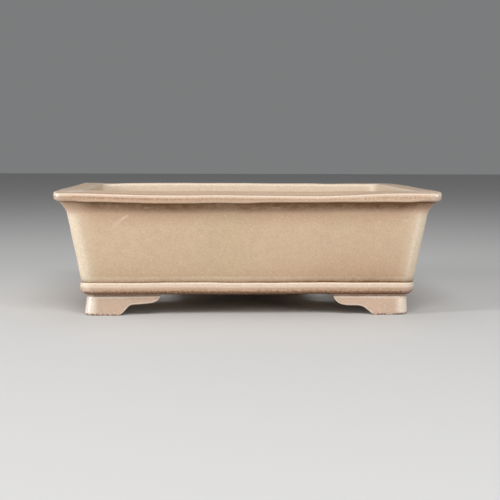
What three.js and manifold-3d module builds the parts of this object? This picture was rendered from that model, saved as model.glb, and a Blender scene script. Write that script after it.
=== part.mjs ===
// A rectangular, unglazed stoneware bonsai pot, put together from slabs, strips and coils of clay.
// Millimetres, +Z up. The origin is the centre of the plane that the four feet stand on.
// X runs along the pot and the front faces -Y.

import * as THREE from "three";
import { mergeVertices } from "three/addons/utils/BufferGeometryUtils.js";
import Module from "manifold-3d";

const wasm = await Module();
wasm.setup();

// ---- Driving dimensions ----

const LENGTH = 360; // over the lip
const WIDTH = 270; // over the lip
const HEIGHT = 119; // from the soles to the top of the lip
const JOINT = 0.3; // clay joint between two neighbouring pieces

const LIP_THICKNESS = 8.8;
const LIP_WIDTH = 22.4; // from the outer face of the lip to its inner face
const LIP_TOP_ARRIS = 2.2; // rounding of the lip's outer top edge
const LIP_INNER_ARRIS = 3; // rounding of the lip's inner top edge
const LIP_UNDER_ROUND = 3; // rounding of the lip's outer lower edge
const LIP_CORNER = 8; // corner radius of the lip in plan
const LIP_OVERHANG = 10.5; // from the lip's outer face to the wall's, where the cove ends
const COVE_SLANT = 25; // degrees that the cove slopes by where it springs from the lip's rounding
const COVE_HEAD_PULL = 2; // how far the cove's curve holds the slant of its head
const COVE_FOOT_PULL = 5.5; // how far it holds the wall's lean at its foot
const INNER_CORNER = 12; // corner radius of the inside, in plan

const WALL_TOP = 98; // where the walls end and the lip's cove begins
const WALL_FLARE = 0.173; // lean of the wall's outer face, per millimetre of height
const WALL_TOP_THICKNESS = 11.9;
const WALL_FOOT_THICKNESS = 9.2;
const WALL_CORNER = 9; // outside corner radius of the walls in plan
const WALL_INNER_CORNER = 4; // inside corner radius of the walls, behind the corner coils

const FLOOR_UNDERSIDE = 20.4;
const FLOOR_THICKNESS = 10;
const FLOOR_INSET = 25.2; // from the lip's outer face to the edge of the floor slab
const FLOOR_CORNER = 8;
const DRAIN_HOLE_DIAMETER = 32;
const DRAIN_HOLE_X = 85;
const WIRE_HOLE_DIAMETER = 5.5;
const WIRE_HOLE_X = 122;
const WIRE_HOLE_Y = 52;

const BAND_TOP = 32.5;
const BAND_CREST_TOP = 28.4; // the band stands furthest out between these two heights
const BAND_CREST_FOOT = 26;
const BAND_INSET = 20.6; // from the lip's outer face to the crest of the band
const BAND_CORNER = 9.5;

const FLOOR_COIL = 9; // height and width of the coil round the edge of the floor

const FOOT_INSET = 25; // from the lip's outer face to the foot's, at the sole
const FOOT_LEAN = 0.066; // the foot's faces lean in by this much per millimetre of height
const FOOT_HEIGHT = 18.3; // up to the ledge, where the set-back neck begins
const FOOT_ARM = 72.2; // length of each arm at the sole, measured from the corner
const FOOT_SOLE = 34.2; // length of the sole along each arm
const FOOT_SLOPE_RUN = 6.9; // where the sole ends, the foot slopes up to the wing
const FOOT_SLOPE_RISE = 6.9;
const WING_ROOT = 9.8; // underside of the wing just past the slope
const WING_END = 11.2; // underside of the wing where its rounded tip begins
const WING_TIP = 9.5; // length of the rounded tip
const FOOT_PLATE = 11; // thickness of a foot's plates
const FOOT_CORNER = 5.5; // corner radius of a foot in plan
const FOOT_NECK = 1.6; // how far the neck is set back

// ---- Curve fineness ----

const CORNER_STEPS = 4; // steps in each half of a rounded corner
const CURVE_STEPS = 7; // steps in a rounding or a cove
const HOLE_SIDES = 32;
const MARGIN = 1; // how far a cutting shape reaches past what it cuts

// ---- Heights and faces that follow from the dimensions ----

const FLOOR_TOP = FLOOR_UNDERSIDE + FLOOR_THICKNESS;
const WALL_FOOT = FLOOR_TOP + JOINT;
const LIP_FOOT = WALL_TOP + JOINT;
const LIP_UNDERSIDE = HEIGHT - LIP_THICKNESS;
const NECK_TOP = FLOOR_UNDERSIDE - JOINT;

// Faces are given as "out": how far they lie beyond the lip's outer face, so all are 0 or less.
const wallOut = (z) => -LIP_OVERHANG - WALL_FLARE * (WALL_TOP - z);
const WALL_INNER_TOP = wallOut(WALL_TOP) - WALL_TOP_THICKNESS;
const WALL_INNER_FOOT = wallOut(WALL_FOOT) - WALL_FOOT_THICKNESS;
const INNER_FLARE = (WALL_INNER_TOP - WALL_INNER_FOOT) / (WALL_TOP - WALL_FOOT);
const innerOut = (z) => WALL_INNER_TOP - INNER_FLARE * (WALL_TOP - z);

// ---- Finishes ----

const clay = (color) => new THREE.MeshStandardMaterial({ color, roughness: 0.62, metalness: 0 });
const bodyClay = clay(0xcfb698);
const trimClay = clay(0xceb39a);
const footClay = clay(0xccb19b);

// ---- Building blocks ----

// One corner of a strip's cross-section: its place, and the corner radius in plan that it follows.
const point = (out, z, radius) => ({ out, z, radius });

// A quarter of an ellipse about (out, z), from angle start to angle end.
function roundOff(out, z, reachOut, reachUp, start, end, radius) {
  const points = [];
  for (let i = 0; i <= CURVE_STEPS; i++) {
    const angle = start + ((end - start) * i) / CURVE_STEPS;
    points.push(point(out + reachOut * Math.cos(angle), z + reachUp * Math.sin(angle), radius));
  }
  return points;
}

// A strip along one side of the pot, mitred in the middle of both of its rounded corners.
// The section runs anticlockwise, with outward to the right and up at the top.
function strip(section, halfAlong, halfAcross) {
  const stations = [];
  for (let i = 0; i <= CORNER_STEPS; i++) {
    stations.push({ side: -1, angle: Math.PI / 4 - (Math.PI / 4) * (i / CORNER_STEPS) });
  }
  for (let i = 0; i <= CORNER_STEPS; i++) {
    stations.push({ side: 1, angle: (Math.PI / 4) * (i / CORNER_STEPS) });
  }
  const mitre = (JOINT / 2) * Math.SQRT2;
  const positions = [];
  for (const { side, angle } of stations) {
    for (const { out, z, radius } of section) {
      const along = halfAlong + out - radius + radius * Math.sin(angle) - mitre;
      const across = halfAcross + out - radius + radius * Math.cos(angle);
      positions.push(side * along, -across, z);
    }
  }
  const count = section.length;
  const index = [];
  for (let s = 0; s + 1 < stations.length; s++) {
    for (let k = 0; k < count; k++) {
      const a = s * count + k;
      const b = s * count + ((k + 1) % count);
      index.push(a, a + count, b, b, a + count, b + count);
    }
  }
  const outline = section.map(({ out, z }) => new THREE.Vector2(out, z));
  const last = (stations.length - 1) * count;
  for (const [a, b, c] of THREE.ShapeUtils.triangulateShape(outline, [])) {
    index.push(a, b, c, last + a, last + c, last + b);
  }
  const geometry = new THREE.BufferGeometry();
  geometry.setAttribute("position", new THREE.Float32BufferAttribute(positions, 3));
  geometry.setIndex(index);
  return geometry;
}

function extrude(shape, depth, bottom = 0) {
  const settings = { depth, bevelEnabled: false, curveSegments: CURVE_STEPS };
  return new THREE.ExtrudeGeometry(shape, settings).translate(0, 0, bottom);
}

function solid(geometry) {
  const bare = geometry.clone();
  bare.deleteAttribute("normal");
  bare.deleteAttribute("uv");
  const merged = mergeVertices(bare, 1e-4);
  const vertProperties = new Float32Array(merged.attributes.position.array);
  const triVerts = new Uint32Array(merged.index.array);
  return new wasm.Manifold(new wasm.Mesh({ numProp: 3, vertProperties, triVerts }));
}

function geometryOf(manifold) {
  const { vertProperties, triVerts } = manifold.getMesh();
  const geometry = new THREE.BufferGeometry();
  geometry.setAttribute("position", new THREE.Float32BufferAttribute(vertProperties, 3));
  geometry.setIndex(new THREE.Uint32BufferAttribute(triVerts, 1));
  return geometry;
}

function roundedRectangle(halfX, halfY, radius) {
  const shape = new THREE.Shape();
  shape.absarc(halfX - radius, halfY - radius, radius, 0, Math.PI / 2);
  shape.absarc(radius - halfX, halfY - radius, radius, Math.PI / 2, Math.PI);
  shape.absarc(radius - halfX, radius - halfY, radius, Math.PI, 1.5 * Math.PI);
  shape.absarc(halfX - radius, radius - halfY, radius, 1.5 * Math.PI, 2 * Math.PI);
  return shape;
}

const pot = new THREE.Group();

function add(name, geometry, material, parent = pot) {
  const mesh = new THREE.Mesh(geometry, material);
  mesh.name = name;
  parent.add(mesh);
  return mesh;
}

// The same cross-section along all four sides. Each strip is made for the front and turned.
function addFourSides(name, section, material) {
  const sides = ["front", "right", "back", "left"];
  sides.forEach((side, turn) => {
    const alongX = turn % 2 === 0;
    const halfAlong = (alongX ? LENGTH : WIDTH) / 2;
    const halfAcross = (alongX ? WIDTH : LENGTH) / 2;
    const mesh = add(`${name}_${side}`, strip(section, halfAlong, halfAcross), material);
    mesh.rotation.z = (turn * Math.PI) / 2;
  });
}

// A group at each corner, with its own +X and +Y along the two sides that meet there.
function addAtCorners(out, z, fill) {
  const x = LENGTH / 2 + out;
  const y = WIDTH / 2 + out;
  const corners = [
    ["front_left", -x, -y],
    ["front_right", x, -y],
    ["back_right", x, y],
    ["back_left", -x, y],
  ];
  corners.forEach(([corner, px, py], turn) => {
    const group = new THREE.Group();
    group.position.set(px, py, z);
    group.rotation.z = (turn * Math.PI) / 2;
    fill(group, corner, turn);
    pot.add(group);
  });
}

// ---- Floor slab, with two drain holes and six holes for the wires that tie the tree in ----

function hole(diameter, x, y) {
  const cylinder = new THREE.CylinderGeometry(diameter / 2, diameter / 2, 2 * HEIGHT, HOLE_SIDES);
  return solid(cylinder.rotateX(Math.PI / 2).translate(x, y, 0));
}

function floorSlab() {
  const halfX = LENGTH / 2 - FLOOR_INSET;
  const halfY = WIDTH / 2 - FLOOR_INSET;
  const outline = roundedRectangle(halfX, halfY, FLOOR_CORNER);
  let slab = solid(extrude(outline, FLOOR_THICKNESS, FLOOR_UNDERSIDE));
  for (const side of [-1, 1]) {
    slab = slab.subtract(hole(DRAIN_HOLE_DIAMETER, side * DRAIN_HOLE_X, 0));
    for (const x of [-WIRE_HOLE_X, 0, WIRE_HOLE_X]) {
      slab = slab.subtract(hole(WIRE_HOLE_DIAMETER, x, side * WIRE_HOLE_Y));
    }
  }
  return geometryOf(slab);
}

add("floor_slab", floorSlab(), bodyClay);

// ---- Walls: flat slabs that lean out and stand on the floor slab ----

const wallSection = [
  point(wallOut(WALL_FOOT), WALL_FOOT, WALL_CORNER),
  point(wallOut(WALL_TOP), WALL_TOP, WALL_CORNER),
  point(innerOut(WALL_TOP), WALL_TOP, WALL_INNER_CORNER),
  point(innerOut(WALL_FOOT), WALL_FOOT, WALL_INNER_CORNER),
];

addFourSides("wall", wallSection, bodyClay);

// ---- Lip: a flat bar with rounded edges, over a hollow cove that runs down to the wall ----

const slant = (COVE_SLANT * Math.PI) / 180;
const coveHead = new THREE.Vector2(
  LIP_UNDER_ROUND * (Math.sin(slant) - 1),
  LIP_UNDERSIDE + LIP_UNDER_ROUND * (1 - Math.cos(slant)),
);
const coveFoot = new THREE.Vector2(-LIP_OVERHANG, LIP_FOOT);
const headPull = new THREE.Vector2(-Math.cos(slant), -Math.sin(slant)).setLength(COVE_HEAD_PULL);
const footPull = new THREE.Vector2(WALL_FLARE, 1).setLength(COVE_FOOT_PULL);
const cove = new THREE.CubicBezierCurve(
  coveFoot,
  coveFoot.clone().add(footPull),
  coveHead.clone().add(headPull),
  coveHead,
);

const lipSection = [
  ...cove.getPoints(CURVE_STEPS).map(({ x, y }) => point(x, y, WALL_CORNER)),
  ...roundOff(
    -LIP_UNDER_ROUND,
    LIP_UNDERSIDE + LIP_UNDER_ROUND,
    LIP_UNDER_ROUND,
    LIP_UNDER_ROUND,
    slant - Math.PI / 2,
    0,
    LIP_CORNER,
  ).slice(1),
  ...roundOff(
    -LIP_TOP_ARRIS,
    HEIGHT - LIP_TOP_ARRIS,
    LIP_TOP_ARRIS,
    LIP_TOP_ARRIS,
    0,
    Math.PI / 2,
    LIP_CORNER,
  ),
  ...roundOff(
    LIP_INNER_ARRIS - LIP_WIDTH,
    HEIGHT - LIP_INNER_ARRIS,
    LIP_INNER_ARRIS,
    LIP_INNER_ARRIS,
    Math.PI / 2,
    Math.PI,
    INNER_CORNER,
  ),
  point(-LIP_WIDTH, LIP_FOOT, INNER_CORNER),
];

addFourSides("lip", lipSection, trimClay);

// ---- Base band: a rounded strip that covers the seam between floor slab and walls ----

const bandBack = JOINT - FLOOR_INSET;
const bandRoundStart = bandBack + JOINT;
const bandHead = wallOut(BAND_TOP) + JOINT;

const bandSection = [
  ...roundOff(
    bandRoundStart,
    BAND_CREST_FOOT,
    -BAND_INSET - bandRoundStart,
    BAND_CREST_FOOT - FLOOR_UNDERSIDE,
    -Math.PI / 2,
    0,
    BAND_CORNER,
  ),
  ...roundOff(
    bandHead,
    BAND_CREST_TOP,
    -BAND_INSET - bandHead,
    BAND_TOP - BAND_CREST_TOP,
    0,
    Math.PI / 2,
    BAND_CORNER,
  ),
  point(wallOut(FLOOR_TOP) + JOINT, FLOOR_TOP, WALL_CORNER),
  point(bandBack, FLOOR_TOP, FLOOR_CORNER),
  point(bandBack, FLOOR_UNDERSIDE, FLOOR_CORNER),
];

addFourSides("base_band", bandSection, trimClay);

// ---- Coils of clay smoothed into the inside seams ----

// Round the edge of the floor, with a hollow face.
const coilBottom = FLOOR_TOP + JOINT;
const coilEdge = 0.8; // thickness left at the feathered edges of a coil
const coilOut = (z) => innerOut(z) - JOINT;

const floorCoilSection = [
  point(coilOut(coilBottom), coilBottom, WALL_INNER_CORNER),
  point(coilOut(coilBottom + FLOOR_COIL), coilBottom + FLOOR_COIL, WALL_INNER_CORNER),
  ...roundOff(
    coilOut(coilBottom) - FLOOR_COIL,
    coilBottom + FLOOR_COIL,
    FLOOR_COIL - coilEdge,
    FLOOR_COIL - coilEdge,
    0,
    -Math.PI / 2,
    INNER_CORNER,
  ),
  point(coilOut(coilBottom) - FLOOR_COIL, coilBottom, INNER_CORNER),
];

addFourSides("floor_coil", floorCoilSection, bodyClay);

// Up the inside corners, leaning out with the walls.
function cornerCoil() {
  const shape = new THREE.Shape();
  shape.moveTo(INNER_CORNER, 0);
  shape.lineTo(INNER_CORNER, coilEdge);
  shape.absarc(INNER_CORNER, INNER_CORNER, INNER_CORNER - coilEdge, 1.5 * Math.PI, Math.PI, true);
  shape.lineTo(0, INNER_CORNER);
  shape.absarc(WALL_INNER_CORNER, WALL_INNER_CORNER, WALL_INNER_CORNER, Math.PI, 1.5 * Math.PI);
  const bottom = coilBottom + FLOOR_COIL + JOINT;
  const lean = new THREE.Matrix4().makeShear(0, 0, 0, 0, -INNER_FLARE, -INNER_FLARE);
  return { geometry: extrude(shape, WALL_TOP - bottom).applyMatrix4(lean), bottom };
}

const coil = cornerCoil();
addAtCorners(coilOut(coil.bottom), coil.bottom, (group, corner) => {
  add(`corner_coil_${corner}`, coil.geometry.clone(), bodyClay, group);
});

// ---- Feet: two bracket plates each, mitred at the corner of the pot ----

// An L in plan, set back by inset on its two outer faces.
function footPlan(inset) {
  const shape = new THREE.Shape();
  const corner = FOOT_CORNER + inset;
  const reach = FOOT_ARM + MARGIN;
  shape.moveTo(reach, inset);
  shape.lineTo(reach, FOOT_PLATE);
  shape.lineTo(FOOT_PLATE, FOOT_PLATE);
  shape.lineTo(FOOT_PLATE, reach);
  shape.lineTo(inset, reach);
  shape.absarc(corner, corner, FOOT_CORNER, Math.PI, 1.5 * Math.PI);
  return shape;
}

// The space under and beyond one arm, seen from its outer face: what the potter cuts away.
// It reaches past the foot by MARGIN wherever it has to cut right through.
function underWing() {
  const slopeTop = FOOT_SOLE + FOOT_SLOPE_RUN;
  const bend = 2; // size of the soft bend between the slope and the wing
  const shape = new THREE.Shape();
  shape.moveTo(FOOT_SOLE - MARGIN, -(MARGIN * FOOT_SLOPE_RISE) / FOOT_SLOPE_RUN);
  shape.lineTo(slopeTop, FOOT_SLOPE_RISE);
  shape.quadraticCurveTo(slopeTop + bend, FOOT_SLOPE_RISE + bend, slopeTop + 3 * bend, WING_ROOT);
  shape.lineTo(FOOT_ARM - WING_TIP, WING_END);
  shape.quadraticCurveTo(FOOT_ARM, WING_END + 1, FOOT_ARM, FOOT_HEIGHT);
  shape.lineTo(FOOT_ARM, FLOOR_UNDERSIDE);
  shape.lineTo(FOOT_ARM + 2 * MARGIN, FLOOR_UNDERSIDE);
  shape.lineTo(FOOT_ARM + 2 * MARGIN, -2 * MARGIN);
  shape.lineTo(FOOT_SOLE - MARGIN, -2 * MARGIN);
  return extrude(shape, FOOT_PLATE + 2 * MARGIN, -MARGIN);
}

// One side of the corner's diagonal in plan, half a clay joint away from it.
function besideMitre() {
  const start = (JOINT / 2) * Math.SQRT2;
  const reach = FOOT_ARM + 2 * MARGIN;
  const shape = new THREE.Shape();
  shape.moveTo(start - MARGIN, -MARGIN);
  shape.lineTo(reach, -MARGIN);
  shape.lineTo(reach, reach - start);
  return extrude(shape, FLOOR_UNDERSIDE + 2 * MARGIN, -MARGIN);
}

// A copy of a shape on the other side of the corner's diagonal, where X and Y change places.
function acrossDiagonal(manifold) {
  return manifold.rotate([0, 0, 90]).mirror([1, 0, 0]);
}

function footPlates() {
  const body = solid(extrude(footPlan(0), FOOT_HEIGHT));
  const neck = solid(extrude(footPlan(FOOT_NECK), NECK_TOP));
  const cut = solid(underWing().rotateX(Math.PI / 2).translate(0, FOOT_PLATE, 0)); // stands it up
  const foot = body.add(neck).subtract(cut).subtract(acrossDiagonal(cut));
  const lean = new THREE.Matrix4().makeShear(0, 0, 0, 0, FOOT_LEAN, FOOT_LEAN);
  const side = solid(besideMitre());
  const plates = { along: foot.intersect(side), across: foot.intersect(acrossDiagonal(side)) };
  return {
    along: geometryOf(plates.along).applyMatrix4(lean),
    across: geometryOf(plates.across).applyMatrix4(lean),
  };
}

const plates = footPlates();
addAtCorners(-FOOT_INSET, 0, (group, corner, turn) => {
  const alongX = turn % 2 === 0;
  add(`foot_${corner}_long_side`, (alongX ? plates.along : plates.across).clone(), footClay, group);
  add(`foot_${corner}_short_side`, (alongX ? plates.across : plates.along).clone(), footClay, group);
});

export default pot;
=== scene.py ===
import math
from collections import namedtuple

import bpy
import numpy as np
from mathutils import Matrix, Vector, geometry


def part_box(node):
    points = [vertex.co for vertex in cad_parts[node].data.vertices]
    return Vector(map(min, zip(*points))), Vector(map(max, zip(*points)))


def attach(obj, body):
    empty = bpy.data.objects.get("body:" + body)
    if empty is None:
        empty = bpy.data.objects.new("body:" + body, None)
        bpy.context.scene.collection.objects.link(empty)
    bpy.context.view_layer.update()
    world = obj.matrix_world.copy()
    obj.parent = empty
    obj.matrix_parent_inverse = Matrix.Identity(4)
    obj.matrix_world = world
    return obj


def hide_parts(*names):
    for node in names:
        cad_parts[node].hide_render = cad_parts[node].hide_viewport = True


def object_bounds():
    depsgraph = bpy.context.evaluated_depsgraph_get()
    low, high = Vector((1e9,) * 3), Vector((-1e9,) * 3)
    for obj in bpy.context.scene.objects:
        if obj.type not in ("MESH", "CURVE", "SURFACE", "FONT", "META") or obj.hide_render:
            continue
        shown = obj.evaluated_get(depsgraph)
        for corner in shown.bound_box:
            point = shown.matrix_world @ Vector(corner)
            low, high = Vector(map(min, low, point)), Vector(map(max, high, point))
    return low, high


# An unglazed stoneware bonsai pot: the fired clay surface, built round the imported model.
# Shapes are worked out in millimetres in the model's own frame, and made in metres at the end.
# "out" is how far a face lies beyond the lip's outer face, so it is 0 or less everywhere.

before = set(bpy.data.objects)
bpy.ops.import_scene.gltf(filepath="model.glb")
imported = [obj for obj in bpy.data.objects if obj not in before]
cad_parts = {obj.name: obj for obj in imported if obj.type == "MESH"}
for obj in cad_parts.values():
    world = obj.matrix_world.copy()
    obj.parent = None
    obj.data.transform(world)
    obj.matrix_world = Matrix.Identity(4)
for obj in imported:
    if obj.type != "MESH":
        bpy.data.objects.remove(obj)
cad_low, cad_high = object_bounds()

MM = 0.001


def box_mm(node):
    low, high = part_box(node)
    return low / MM, high / MM


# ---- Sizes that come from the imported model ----

HALF_X = cad_high.x / MM
HALF_Y = cad_high.y / MM
TOP = cad_high.z / MM

wall_low, wall_high = box_mm("wall_front")
lip_low, _ = box_mm("lip_front")
slab_low, slab_high = box_mm("floor_slab")
band_low, band_high = box_mm("base_band_left")
_, floor_coil_high = box_mm("floor_coil_front")
foot_low, _ = box_mm("foot_front_left_short_side")

BAND_SETTLED = 0.4  # how far the band's upper edge lies below the model's

LIP_SEAM = (wall_high.z + lip_low.z) / 2
FLOOR_TOP = (slab_high.z + wall_low.z) / 2
FLOOR_UNDER = slab_low.z
FLOOR_OUT = slab_high.x - HALF_X
BAND_TOP = band_high.z - BAND_SETTLED
BAND_OUT = -band_low.x - HALF_X
FLOOR_COIL_TOP = floor_coil_high.z
FOOT_OUT = -foot_low.x - HALF_X

# ---- Sizes of the clay shapes ----

# They are the model's, except for the lip's arrises and its lower rounding, the band's crest and
# corners, and the corners, leans and curves of the feet, which follow the photo more closely.
# The names in _CORNER are radii as seen from above.

LIP_THICKNESS = 8.8
LIP_WIDTH = 22.4
LIP_TOP_ARRIS = 1.25
LIP_INNER_ARRIS = 3.2
LIP_UNDER_ROUND = 0.9
LIP_CORNER_UNDER_ROUND = 3.6  # the same edge at the corners, where it is rubbed rounder
LIP_OVERHANG = 10.5  # from the lip's outer face in to the top of the wall
LIP_CORNER = 8
INNER_CORNER = 12
WALL_FLARE = 0.173  # outwards for each mm upwards
WALL_FOOT_THICKNESS = 9.2
WALL_CORNER = 9
WALL_INNER_CORNER = 4
BAND_CREST_TOP = 27.5
BAND_CREST_FOOT = 24.4
BAND_CORNER = 12
FLOOR_CORNER = 8
FOOT_SET = {  # how far each foot stands in from the model's place, and how far its faces lean
    "front_left": (-0.6, 0.115),
    "front_right": (0.9, 0.055),
    "back_right": (0.5, 0.08),
    "back_left": (0.3, 0.1),
}
FOOT_CORNER = 8
FOOT_PLATE = 11  # thickness of a foot's plate
FOOT_LEDGE = 18.3  # height of its upper edge
FOOT_NECK = 1.6  # how far the neck above that edge is set back
DRAIN_RADIUS = 16
DRAIN_X = 85
WIRE_RADIUS = 2.75
WIRE_X = 122
WIRE_Y = 52

LIP_UNDERSIDE = TOP - LIP_THICKNESS
NECK_BEAD = FLOOR_UNDER - 0.5  # height of the fine bead that runs above each foot's ledge


def wall_out(z):
    return -LIP_OVERHANG - WALL_FLARE * (LIP_SEAM - z)


INNER_FOOT_OUT = wall_out(FLOOR_TOP) - WALL_FOOT_THICKNESS
INNER_FLARE = (-LIP_WIDTH - INNER_FOOT_OUT) / (LIP_SEAM - FLOOR_TOP)


def inner_out(z):
    return -LIP_WIDTH - INNER_FLARE * (LIP_SEAM - z)


# ---- The hand-made unevenness: one field moves every piece, so joints stay closed ----


def smooth(start, end, value):
    """0 at start, 1 at end and an even S between; the end may be the lower of the two."""
    t = np.clip((value - start) / (end - start), 0, 1)
    return t * t * (3 - 2 * t)


WAVES = 20  # sine waves in one ripple field


def ripple(points, wavelength, seed):
    """A smooth random field of about -1 to 1, with humps about a wavelength apart."""
    rng = np.random.default_rng(seed)
    direction = rng.normal(size=(WAVES, 3))
    direction /= np.linalg.norm(direction, axis=1)[:, None]
    pace = 2 * math.pi / (wavelength * rng.uniform(0.75, 1.5, WAVES))
    phase = rng.uniform(0, 2 * math.pi, WAVES)
    return np.sin(points @ (direction * pace[:, None]).T + phase).sum(1) / math.sqrt(WAVES)


def outward(x, y):
    """How far points lie beyond the lip's outer face."""
    return np.maximum(abs(x) - HALF_X, abs(y) - HALF_Y)


def hump(value, centre, width):
    """1 at the centre, and about a third of that a width away from it."""
    return np.exp(-(((value - centre) / width) ** 2))


MITRE_FADE = (-14, 6)  # how far past a corner's mitre a side's own looks start, and are full


def facing(x, y, way):
    """1 on one side and 0 on the others: the front for a way of -1, the back for 1."""
    return smooth(*MITRE_FADE, (way * y - HALF_Y) - (abs(x) - HALF_X))


RIPPLES = ((95, 0.2, 11), (34, 0.08, 21), (11, 0.03, 31))  # wavelength, height, seed
RIPPLE_RISE = 12  # the soles stay flat, and the ripples are full this far above them
SHRINK = 0.9992  # leaves room for the ripples inside the model's box
CROWN = 0.15  # how far the highest line of the lip lies under the top of that box
CROWN_DEPTH = 4  # how far below that top the crown is taken up
LIP_FACE = (LIP_UNDERSIDE + 0.5, TOP - 1.5)  # between the lip's lower and its upper rounding
SAG_FADE = 14  # how far under the lip's seam its sag has died away


def lip_fall(x, y):
    """How far the lip's outer top edge, its lower edge and its inner edge have sunk.

    x runs along the front, so each smooth() names the places where an effect starts and is full.
    """
    front = facing(x, y, -1)
    middle = np.where(x < 0, smooth(-174, -84, x), smooth(140, 75, x))
    dip = hump(x, 62, 28)
    left_of_middle = smooth(-140, -85, x) * smooth(22, -5, x)
    off_corners = smooth(HALF_X - 8, HALF_X - 30, abs(x)) * smooth(110, 50, x)
    back = facing(x, y, 1) * (0.3 + 0.7 * hump(x, 105, 22) + 0.6 * smooth(-125, -150, x))
    outer = 0.4 + front * (1.3 + 1.8 * middle + 0.6 * dip + 0.2 * off_corners) + back
    lower = 0.2 + front * (0.6 + 0.4 * off_corners + left_of_middle) + back
    inner = 0.1 + 0.4 * front * middle + back
    return outer, lower, inner


def settle(points):
    """The points after drying and firing: a sunken lip and gentle ripples, inside the box."""
    x, y, z = points.T
    outer, lower, inner = lip_fall(x, y)
    top = inner + (outer - inner) * smooth(-LIP_WIDTH, -LIP_TOP_ARRIS, outward(x, y))
    fall = lower + (top - lower) * smooth(*LIP_FACE, z)
    moved = points * np.array((SHRINK, SHRINK, 1))
    moved[:, 2] -= fall * smooth(LIP_SEAM - SAG_FADE, LIP_UNDERSIDE, z)
    lifted = smooth(0, RIPPLE_RISE, z)
    for wavelength, height, seed in RIPPLES:
        for axis in range(3):
            moved[:, axis] += ripple(points, wavelength, seed + axis) * height * lifted
    moved[:, 2] -= CROWN * smooth(TOP - CROWN_DEPTH, TOP, z)
    return np.clip(moved, (-HALF_X, -HALF_Y, 0), (HALF_X, HALF_Y, TOP))


# ---- Masks that the materials read from the mesh ----

SKIN = 3  # a point may lie this far behind the wall's outer face and still be on the outside
SCUFF_SKIN = 2  # the same for the scuffs
FRONT_DEPTH = 34  # the front wall lies nearer than this to the lip's outer face
ON_PLANE = 0.01  # allowance for points that lie just on the level that a mask ends at

FUME_AND_SHADE = {  # strengths of the brown kiln fume and of painted shade
    "cove": 0.56,
    "haze": 0.24,
    "shadow_line": 0.3,
    "lip_face": 0.38,
    "lip_top": 0.22,
    "seam": 0.5,
    "above_seam": 0.36,
    "band_face": 0.37,
    "band_foot": 0.47,
    "blush": 0.15,
}
SCUFFS = (  # start x, z, end x, z, half-width and strength of pale marks on the front wall
    (-117.0, 93.7, -112.9, 96.4, 0.5, 0.9),
    (-120.0, 91.4, -117.0, 93.7, 0.5, 0.35),
    (-125.0, 86.3, -120.5, 90.5, 1.4, 0.2),
    (144.4, 91.9, 149.1, 91.9, 0.4, 0.35),
    (121.5, 90.0, 124, 90.0, 0.45, 0.3),
    (-96, 105.2, -91, 105.6, 0.5, 0.4),
    (4, 104.6, 9, 104.8, 0.5, 0.5),
    (22, 104.6, 28, 104.4, 0.5, 0.4),
)


def scuff_mask(points):
    """Pale marks along the lines of SCUFFS."""
    x, y, z = points.T
    mask = np.zeros(len(points))
    for x0, z0, x1, z1, half, strength in SCUFFS:
        run = np.array((x1 - x0, z1 - z0))
        t = np.clip(((x - x0) * run[0] + (z - z0) * run[1]) / (run @ run), 0, 1)
        gap = np.hypot(x - x0 - t * run[0], z - z0 - t * run[1])
        mask = np.maximum(mask, strength * (1 - smooth(half * 0.4, half * 1.8, gap)))
    near_front = y < -HALF_Y + FRONT_DEPTH
    return mask * (near_front & (-y > wall_out(z) + HALF_Y - SCUFF_SKIN))


# In these, x runs along the front, and a smooth() goes from where an effect starts to where it
# is full: a place along the front, a height, or a distance below the lip.


def cove_fume_and_shade(x, z, front, mid_side):
    """Fume and painted shade under the lip, with a painted shadow line right under it: weaker at
    the corners, and thinner at the front's left end.
    """
    below_lip = LIP_UNDERSIDE - z
    thinner = 1 - 0.3 * front * smooth(-70, -120, x)
    reach = 13.6 - 1.6 * front * smooth(50, 110, x)
    at_corner = 0.5 + 0.4 * front * smooth(40, 130, x)
    share = at_corner + (1 - at_corner) * mid_side
    # painted shade, partly brown fume: the cove's darkening under the lip's overhang
    cove = FUME_AND_SHADE["cove"] * thinner * smooth(reach, 3.8, below_lip) * share
    haze = FUME_AND_SHADE["haze"] * smooth(28, 10, below_lip) * mid_side
    # painted shadow: a dark line right under the lip's lower edge, darker towards the front's
    # ends
    darkness = FUME_AND_SHADE["shadow_line"] + 0.35 * front * smooth(50, 120, abs(x))
    shadow_line = darkness * np.exp(-np.maximum(below_lip, 0) / 1.5)
    return (cove + haze + shadow_line) * (below_lip > -0.4)


def lip_face_fume(x, z, out):
    """Fume on the lip's outer face: stronger on the left, and towards the top."""
    strength = FUME_AND_SHADE["lip_face"] - 0.28 * smooth(-100, 150, x)
    upwards = np.clip(0.3 + 1.4 * (z - LIP_UNDERSIDE) / LIP_THICKNESS, 0, 1.5)
    return strength * (z > LIP_UNDERSIDE) * (z < TOP - 3) * (out > -4) * upwards


def lip_top_line(x, z, out):
    """A faint brown line along the lip's top, stronger on the left."""
    strength = FUME_AND_SHADE["lip_top"] + 0.3 * smooth(-40, -130, x)
    return hump(out, -4.6, 2.4) * strength * (z > TOP - 0.5)


def band_fume_and_shade(z):
    """Fume and painted shade on the band's face and under it, and in and above the seam over it.
    """
    above = z - BAND_TOP
    # painted shade, partly brown fume: in and above the seam over the band, and down the band's
    # face and underside
    seam = FUME_AND_SHADE["seam"] * np.exp(-above / 1.8) + FUME_AND_SHADE["above_seam"] * np.exp(-above / 9)
    face = FUME_AND_SHADE["band_face"] * smooth(BAND_CREST_TOP + 0.8, BAND_CREST_TOP - 0.8, z)
    foot = FUME_AND_SHADE["band_foot"] * smooth(BAND_CREST_FOOT - 1.6, FLOOR_UNDER + 0.8, z)
    on_band = (z < BAND_TOP) & (z > FLOOR_UNDER - ON_PLANE)
    return seam * (above > -0.3) + (face + foot) * on_band


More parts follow.
